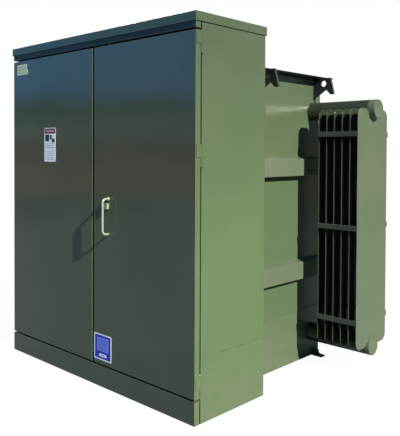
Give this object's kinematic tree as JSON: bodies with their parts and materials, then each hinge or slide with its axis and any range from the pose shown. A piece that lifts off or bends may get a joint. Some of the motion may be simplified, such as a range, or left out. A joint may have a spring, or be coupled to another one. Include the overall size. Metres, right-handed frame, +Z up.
{
  "type": "pad-mounted transformer",
  "caption": "Three-phase pad-mounted transformer: two-door cable cabinet in front of a sealed oil tank with side radiators.",
  "frame": {"origin": "middle of the whole footprint on the pad, at z = 0", "axes": "+X to the right as seen from the doors, +Y from the doors towards the tank, +Z up"},
  "size_m": [2.166, 1.473, 1.936],
  "materials": {
    "door_paint": "semi-gloss dark green enamel",
    "cabinet_paint": "semi-gloss olive green enamel",
    "tank_paint": "semi-gloss olive green enamel",
    "radiator_paint": "semi-gloss olive green enamel",
    "handle_paint": "pale green enamel",
    "zinc_steel": "zinc-plated steel",
    "label_film": "printed vinyl film with plain colour fields",
    "blue_label_film": "printed vinyl film with plain colour fields",
    "gasket_rubber": "cork-nitrile gasket",
    "epoxy_brown": "moulded epoxy",
    "tinned_copper": "tin-plated copper",
    "fuse_plastic": "moulded nylon",
    "fuse_holder": "moulded nylon with a brass eye",
    "red_paint": "red enamel",
    "brass": "cast brass",
    "gauge_white": "white enamelled gauge case",
    "aluminium_plate": "blank anodised plate",
    "copper_pad": "copper-faced steel",
    "core_steel": "stacked electrical steel",
    "winding_copper": "varnished copper winding",
    "pressboard": "oil-soaked insulating board"
  },
  "bodies": {
    "tank_and_cabinet": {"side_sheet_left": "cabinet_paint", "side_sheet_right": "cabinet_paint", "back_panel": "cabinet_paint", "header_channel": "door_paint", "front_sill": "door_paint", "roof_cap": "cabinet_paint", "centre_barrier": "cabinet_paint", "hinge_brackets": "cabinet_paint", "hinge_pins": "zinc_steel", "tank_shell": "tank_paint", "tank_cover": "tank_paint", "cover_gasket": "gasket_rubber", "tank_ribs": "tank_paint", "lifting_hooks": "tank_paint", "hold_down_cleats": "tank_paint", "radiator_headers_right": "radiator_paint", "radiator_panels_right": "radiator_paint", "radiator_straps_right": "radiator_paint", "radiator_headers_left": "radiator_paint", "radiator_panels_left": "radiator_paint", "radiator_straps_left": "radiator_paint", "hv_bushing_wells": "epoxy_brown", "lv_bushings": "epoxy_brown", "lv_spades": "tinned_copper", "fuse_wells": "fuse_plastic", "gauge_bodies": "gauge_white", "drain_valve": "brass", "relief_valve": "brass", "nameplate": "aluminium_plate", "ground_pads": "copper_pad", "core_and_clamps": "core_steel", "windings": "winding_copper", "tank_switches": "pressboard"},
    "left_door": {"left_door": "door_paint", "left_door_stiffeners": "cabinet_paint", "left_hinge_leaves": "cabinet_paint", "left_door_labels": "label_film"},
    "right_door": {"right_door": "door_paint", "right_door_stiffeners": "cabinet_paint", "right_hinge_leaves": "cabinet_paint", "rod_guides": "cabinet_paint", "lock_boss": "handle_paint", "right_door_label": "blue_label_film"},
    "latch": {"door_handle": "handle_paint", "latch_cam": "zinc_steel"},
    "upper_rod": {"upper_latch_rod": "zinc_steel"},
    "lower_rod": {"lower_latch_rod": "zinc_steel"},
    "lock_bolt": {"lock_bolt": "zinc_steel"},
    "left_stay": {"left_door_stay": "zinc_steel"},
    "right_stay": {"right_door_stay": "zinc_steel"},
    "fuse_1": {"fuse_holder_1": "fuse_holder"},
    "fuse_2": {"fuse_holder_2": "fuse_holder"},
    "fuse_3": {"fuse_holder_3": "fuse_holder"},
    "switch_lever": {"switch_handle": "red_paint"},
    "tap_lever": {"tap_handle": "brass"},
    "level_needle": {"level_pointer": "red_paint"},
    "temperature_needle": {"temperature_pointer": "red_paint"},
    "pressure_needle": {"pressure_pointer": "red_paint"},
    "drain_lever": {"drain_lever": "red_paint"},
    "relief_pull": {"relief_ring": "zinc_steel"}
  },
  "joints": [
    {"name": "left_door_hinge", "type": "hinge", "parent": "tank_and_cabinet", "child": "left_door", "pos_m": [-0.812, -0.6495, 1], "axis": [0, 0, -1], "range_deg": [0, 120]},
    {"name": "right_door_hinge", "type": "hinge", "parent": "tank_and_cabinet", "child": "right_door", "pos_m": [0.812, -0.6495, 1], "axis": [0, 0, 1], "range_deg": [0, 120]},
    {"name": "handle_turn", "type": "hinge", "parent": "right_door", "child": "latch", "pos_m": [0.17, -0.6885, 1.03], "axis": [0, -1, 0], "range_deg": [0, 90]},
    {"name": "upper_rod_slide", "type": "slide", "parent": "right_door", "child": "upper_rod", "axis": [0, 0, -1], "range_m": [0, 0.0356]},
    {"name": "lower_rod_slide", "type": "slide", "parent": "right_door", "child": "lower_rod", "axis": [0, 0, 1], "range_m": [0, 0.0356]},
    {"name": "lock_bolt_turn", "type": "hinge", "parent": "right_door", "child": "lock_bolt", "pos_m": [0.157, -0.6885, 0.99], "axis": [0, -1, 0], "continuous": true},
    {"name": "left_stay_swing", "type": "hinge", "parent": "left_door", "child": "left_stay", "pos_m": [-0.635, -0.6515, 0.33], "axis": [0, -1, 0], "range_deg": [0, 60]},
    {"name": "right_stay_swing", "type": "hinge", "parent": "right_door", "child": "right_stay", "pos_m": [0.635, -0.6515, 0.33], "axis": [0, 1, 0], "range_deg": [0, 60]},
    {"name": "fuse_1_pull", "type": "slide", "parent": "tank_and_cabinet", "child": "fuse_1", "axis": [0, -1, 0], "range_m": [0, 0.3]},
    {"name": "fuse_2_pull", "type": "slide", "parent": "tank_and_cabinet", "child": "fuse_2", "axis": [0, -1, 0], "range_m": [0, 0.3]},
    {"name": "fuse_3_pull", "type": "slide", "parent": "tank_and_cabinet", "child": "fuse_3", "axis": [0, -1, 0], "range_m": [0, 0.3]},
    {"name": "switch_turn", "type": "hinge", "parent": "tank_and_cabinet", "child": "switch_lever", "pos_m": [-0.505, -0.1655, 1.27], "axis": [0, 1, 0], "range_deg": [0, 90]},
    {"name": "tap_turn", "type": "hinge", "parent": "tank_and_cabinet", "child": "tap_lever", "pos_m": [-0.075, -0.1655, 1.29], "axis": [0, 1, 0], "range_deg": [0, 120]},
    {"name": "level_needle_turn", "type": "hinge", "parent": "tank_and_cabinet", "child": "level_needle", "pos_m": [0.15, -0.2005, 1.46], "axis": [0, 1, 0], "range_deg": [-60, 60]},
    {"name": "temperature_needle_turn", "type": "hinge", "parent": "tank_and_cabinet", "child": "temperature_needle", "pos_m": [0.29, -0.2005, 1.46], "axis": [0, 1, 0], "range_deg": [0, 120]},
    {"name": "pressure_needle_turn", "type": "hinge", "parent": "tank_and_cabinet", "child": "pressure_needle", "pos_m": [0.43, -0.2005, 1.46], "axis": [0, 1, 0], "range_deg": [-90, 90]},
    {"name": "drain_lever_turn", "type": "hinge", "parent": "tank_and_cabinet", "child": "drain_lever", "pos_m": [0.43, -0.2075, 0.165], "axis": [0, 0, -1], "range_deg": [0, 90]},
    {"name": "relief_pull_slide", "type": "slide", "parent": "tank_and_cabinet", "child": "relief_pull", "axis": [0, -1, 0], "range_m": [0, 0.008]}
  ],
  "couplings": [
    {"joint": "upper_rod_slide", "follows": "handle_turn", "m_per_rad": 0.022508},
    {"joint": "lower_rod_slide", "follows": "handle_turn", "m_per_rad": 0.022508}
  ]
}
